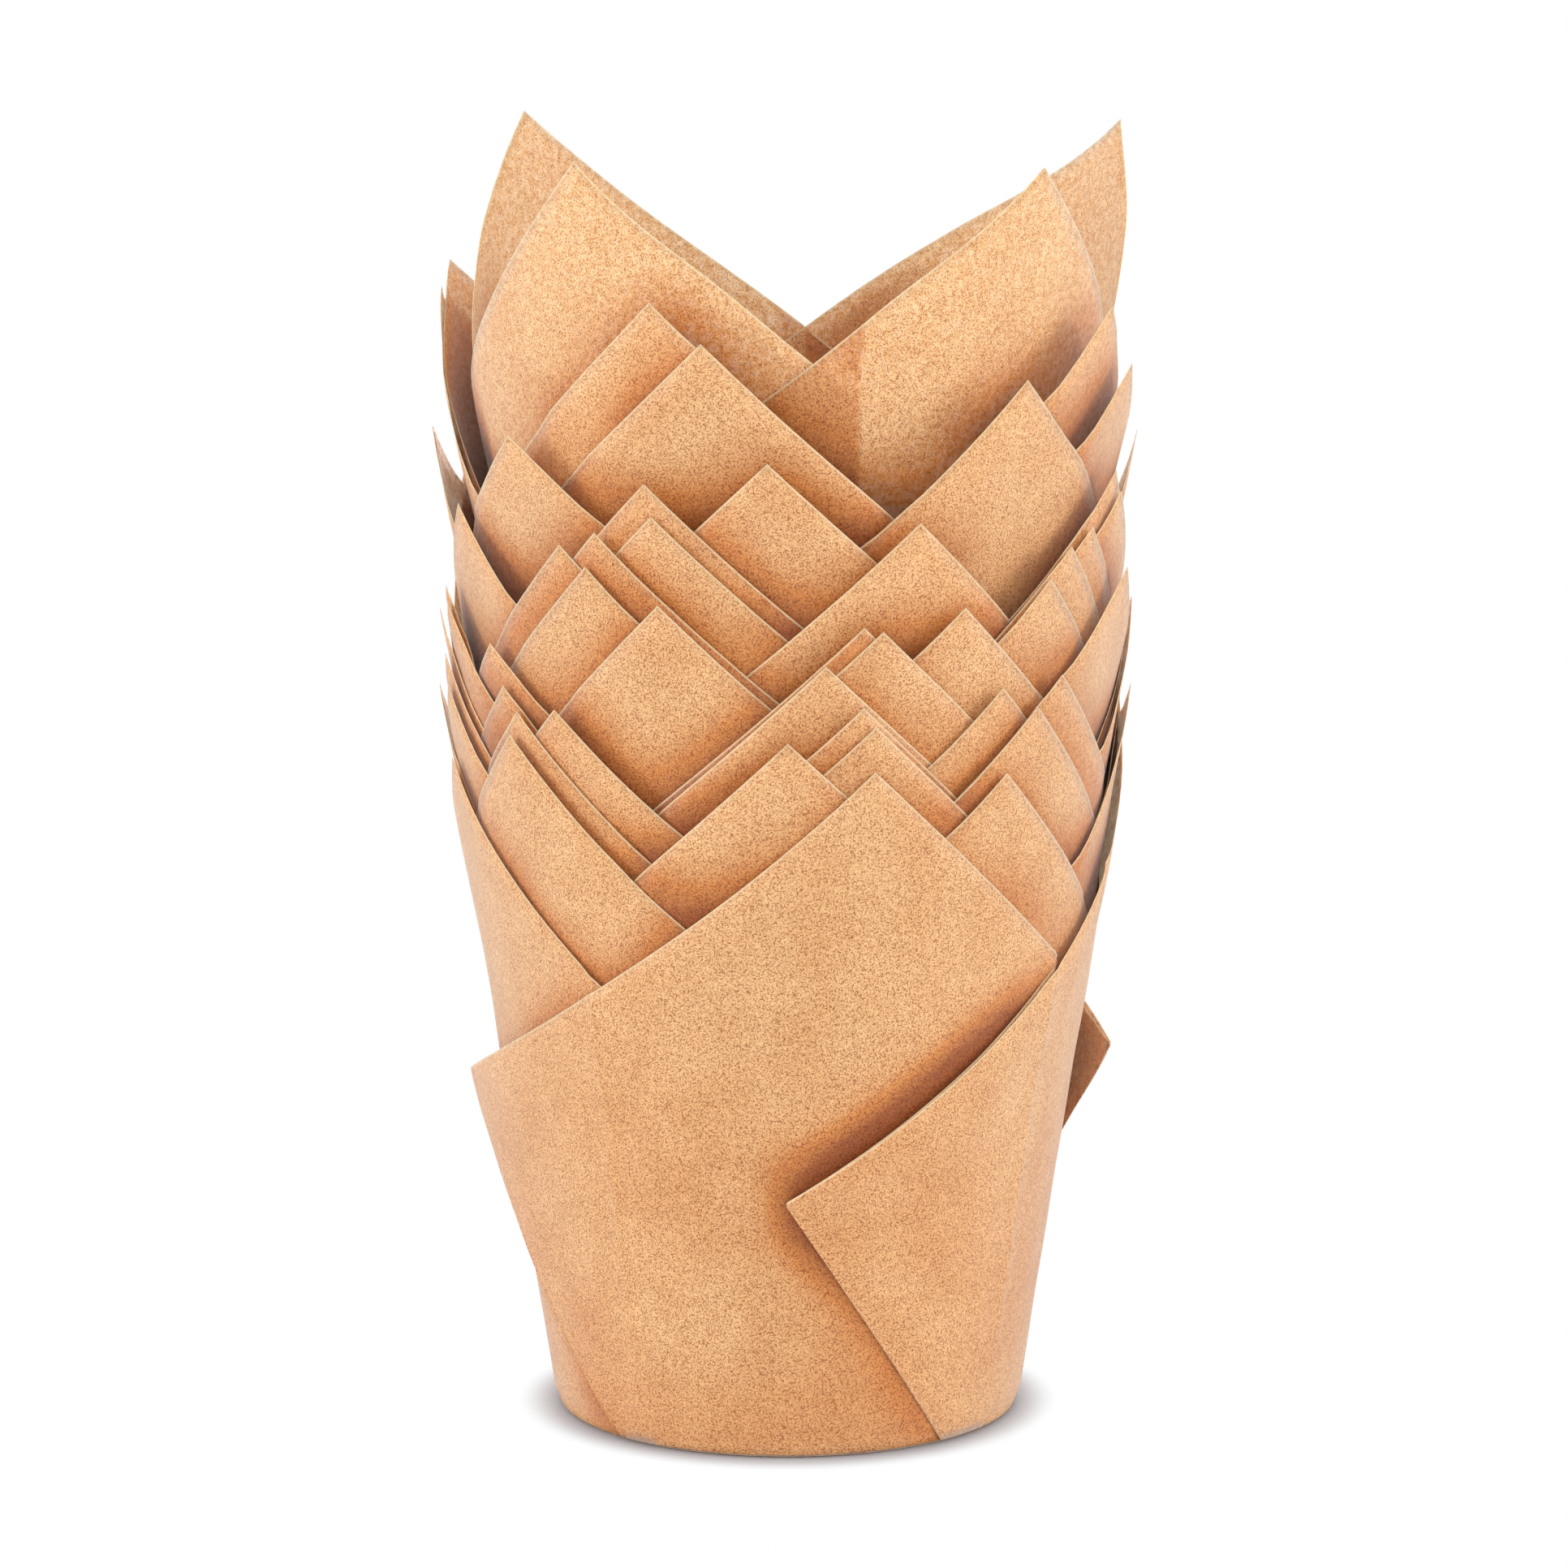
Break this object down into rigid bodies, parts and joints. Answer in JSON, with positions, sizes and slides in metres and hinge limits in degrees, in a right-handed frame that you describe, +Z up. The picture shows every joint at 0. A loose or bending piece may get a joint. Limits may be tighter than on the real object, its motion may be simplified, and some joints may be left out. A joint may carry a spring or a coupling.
{
  "type": "stack of cupcake liners",
  "caption": "Nested upright stack of plain kraft-paper tulip cupcake liners, each a square sheet pressed into a flat base, a tapering wall, four petals and four knife pleats.",
  "frame": {"origin": "centre of the bottom liner's round base, on its underside", "axes": "+Z up along the stack from base to petal tips; -Y is the front that the picture shows; +X to the right in the picture"},
  "size_m": [0.0729, 0.0729, 0.1378],
  "materials": {
    "kraft_paper": "uncoated unbleached greaseproof baking paper, matt, fine fibre speckle, lets a little light through"
  },
  "bodies": {
    "root": {"liner_01": "kraft_paper", "liner_02": "kraft_paper", "liner_03": "kraft_paper", "liner_04": "kraft_paper", "liner_05": "kraft_paper", "liner_06": "kraft_paper", "liner_07": "kraft_paper", "liner_08": "kraft_paper", "liner_09": "kraft_paper", "liner_10": "kraft_paper", "liner_11": "kraft_paper", "liner_12": "kraft_paper", "liner_13": "kraft_paper", "liner_14": "kraft_paper", "liner_15": "kraft_paper", "liner_16": "kraft_paper", "liner_17": "kraft_paper", "liner_18": "kraft_paper", "liner_19": "kraft_paper", "liner_20": "kraft_paper", "liner_21": "kraft_paper", "liner_22": "kraft_paper", "liner_23": "kraft_paper", "liner_24": "kraft_paper"}
  },
  "joints": []
}
